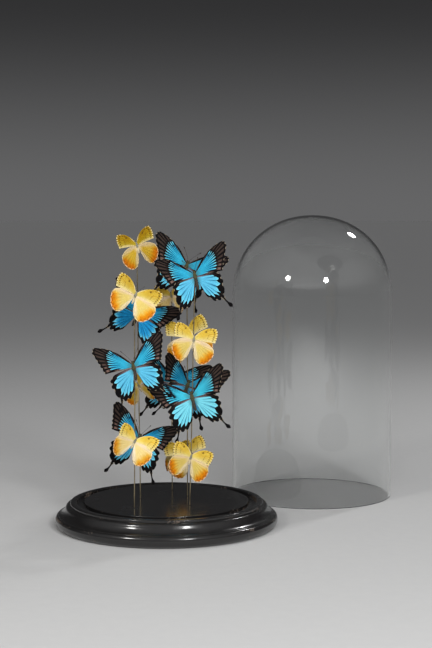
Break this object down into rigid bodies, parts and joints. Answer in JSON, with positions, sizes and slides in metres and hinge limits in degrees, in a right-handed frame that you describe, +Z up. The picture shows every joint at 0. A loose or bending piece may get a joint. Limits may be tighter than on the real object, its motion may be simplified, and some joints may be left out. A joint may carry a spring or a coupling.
{
  "type": "insect in glass dome",
  "caption": "Blue and yellow butterflies with spread wings fixed to thin upright wires in a round black wooden base, with a clear glass dome standing beside it.",
  "frame": {"origin": "centre of the base's underside, on the table", "axes": "+Z up; the butterflies' backs face -Y, the viewer; +X to the viewer's right; the dome stands at +X +Y"},
  "size_m": [0.5268, 0.5318, 0.4595],
  "materials": {
    "ebonised_wood": "black gloss lacquer over turned wood, worn at the bead",
    "dome_glass": "clear blown glass, polished, faintly smudged",
    "brass_wire": "dull, tarnished",
    "blue_butterfly": "matt scaled wing, black with bright blue patches",
    "yellow_butterfly": "matt scaled wing, yellow with orange-bordered cream hindwings"
  },
  "bodies": {
    "root": {"base": "ebonised_wood", "glass_dome": "dome_glass", "wire_front_left": "brass_wire", "wire_mid_left": "brass_wire", "wire_rear": "brass_wire", "wire_mid_right": "brass_wire", "wire_front_right": "brass_wire", "blue_front_left": "blue_butterfly", "blue_mid_left_high": "blue_butterfly", "blue_mid_left_low": "blue_butterfly", "blue_rear": "blue_butterfly", "blue_mid_right_high": "blue_butterfly", "blue_mid_right_low": "blue_butterfly", "blue_front_right_high": "blue_butterfly", "blue_front_right_low": "blue_butterfly", "yellow_front_left_high": "yellow_butterfly", "yellow_front_left_low": "yellow_butterfly", "yellow_mid_left_high": "yellow_butterfly", "yellow_mid_left_low": "yellow_butterfly", "yellow_rear_high": "yellow_butterfly", "yellow_rear_low": "yellow_butterfly", "yellow_mid_right_high": "yellow_butterfly", "yellow_mid_right_low": "yellow_butterfly", "yellow_front_right_high": "yellow_butterfly", "yellow_front_right_low": "yellow_butterfly"}
  },
  "joints": []
}
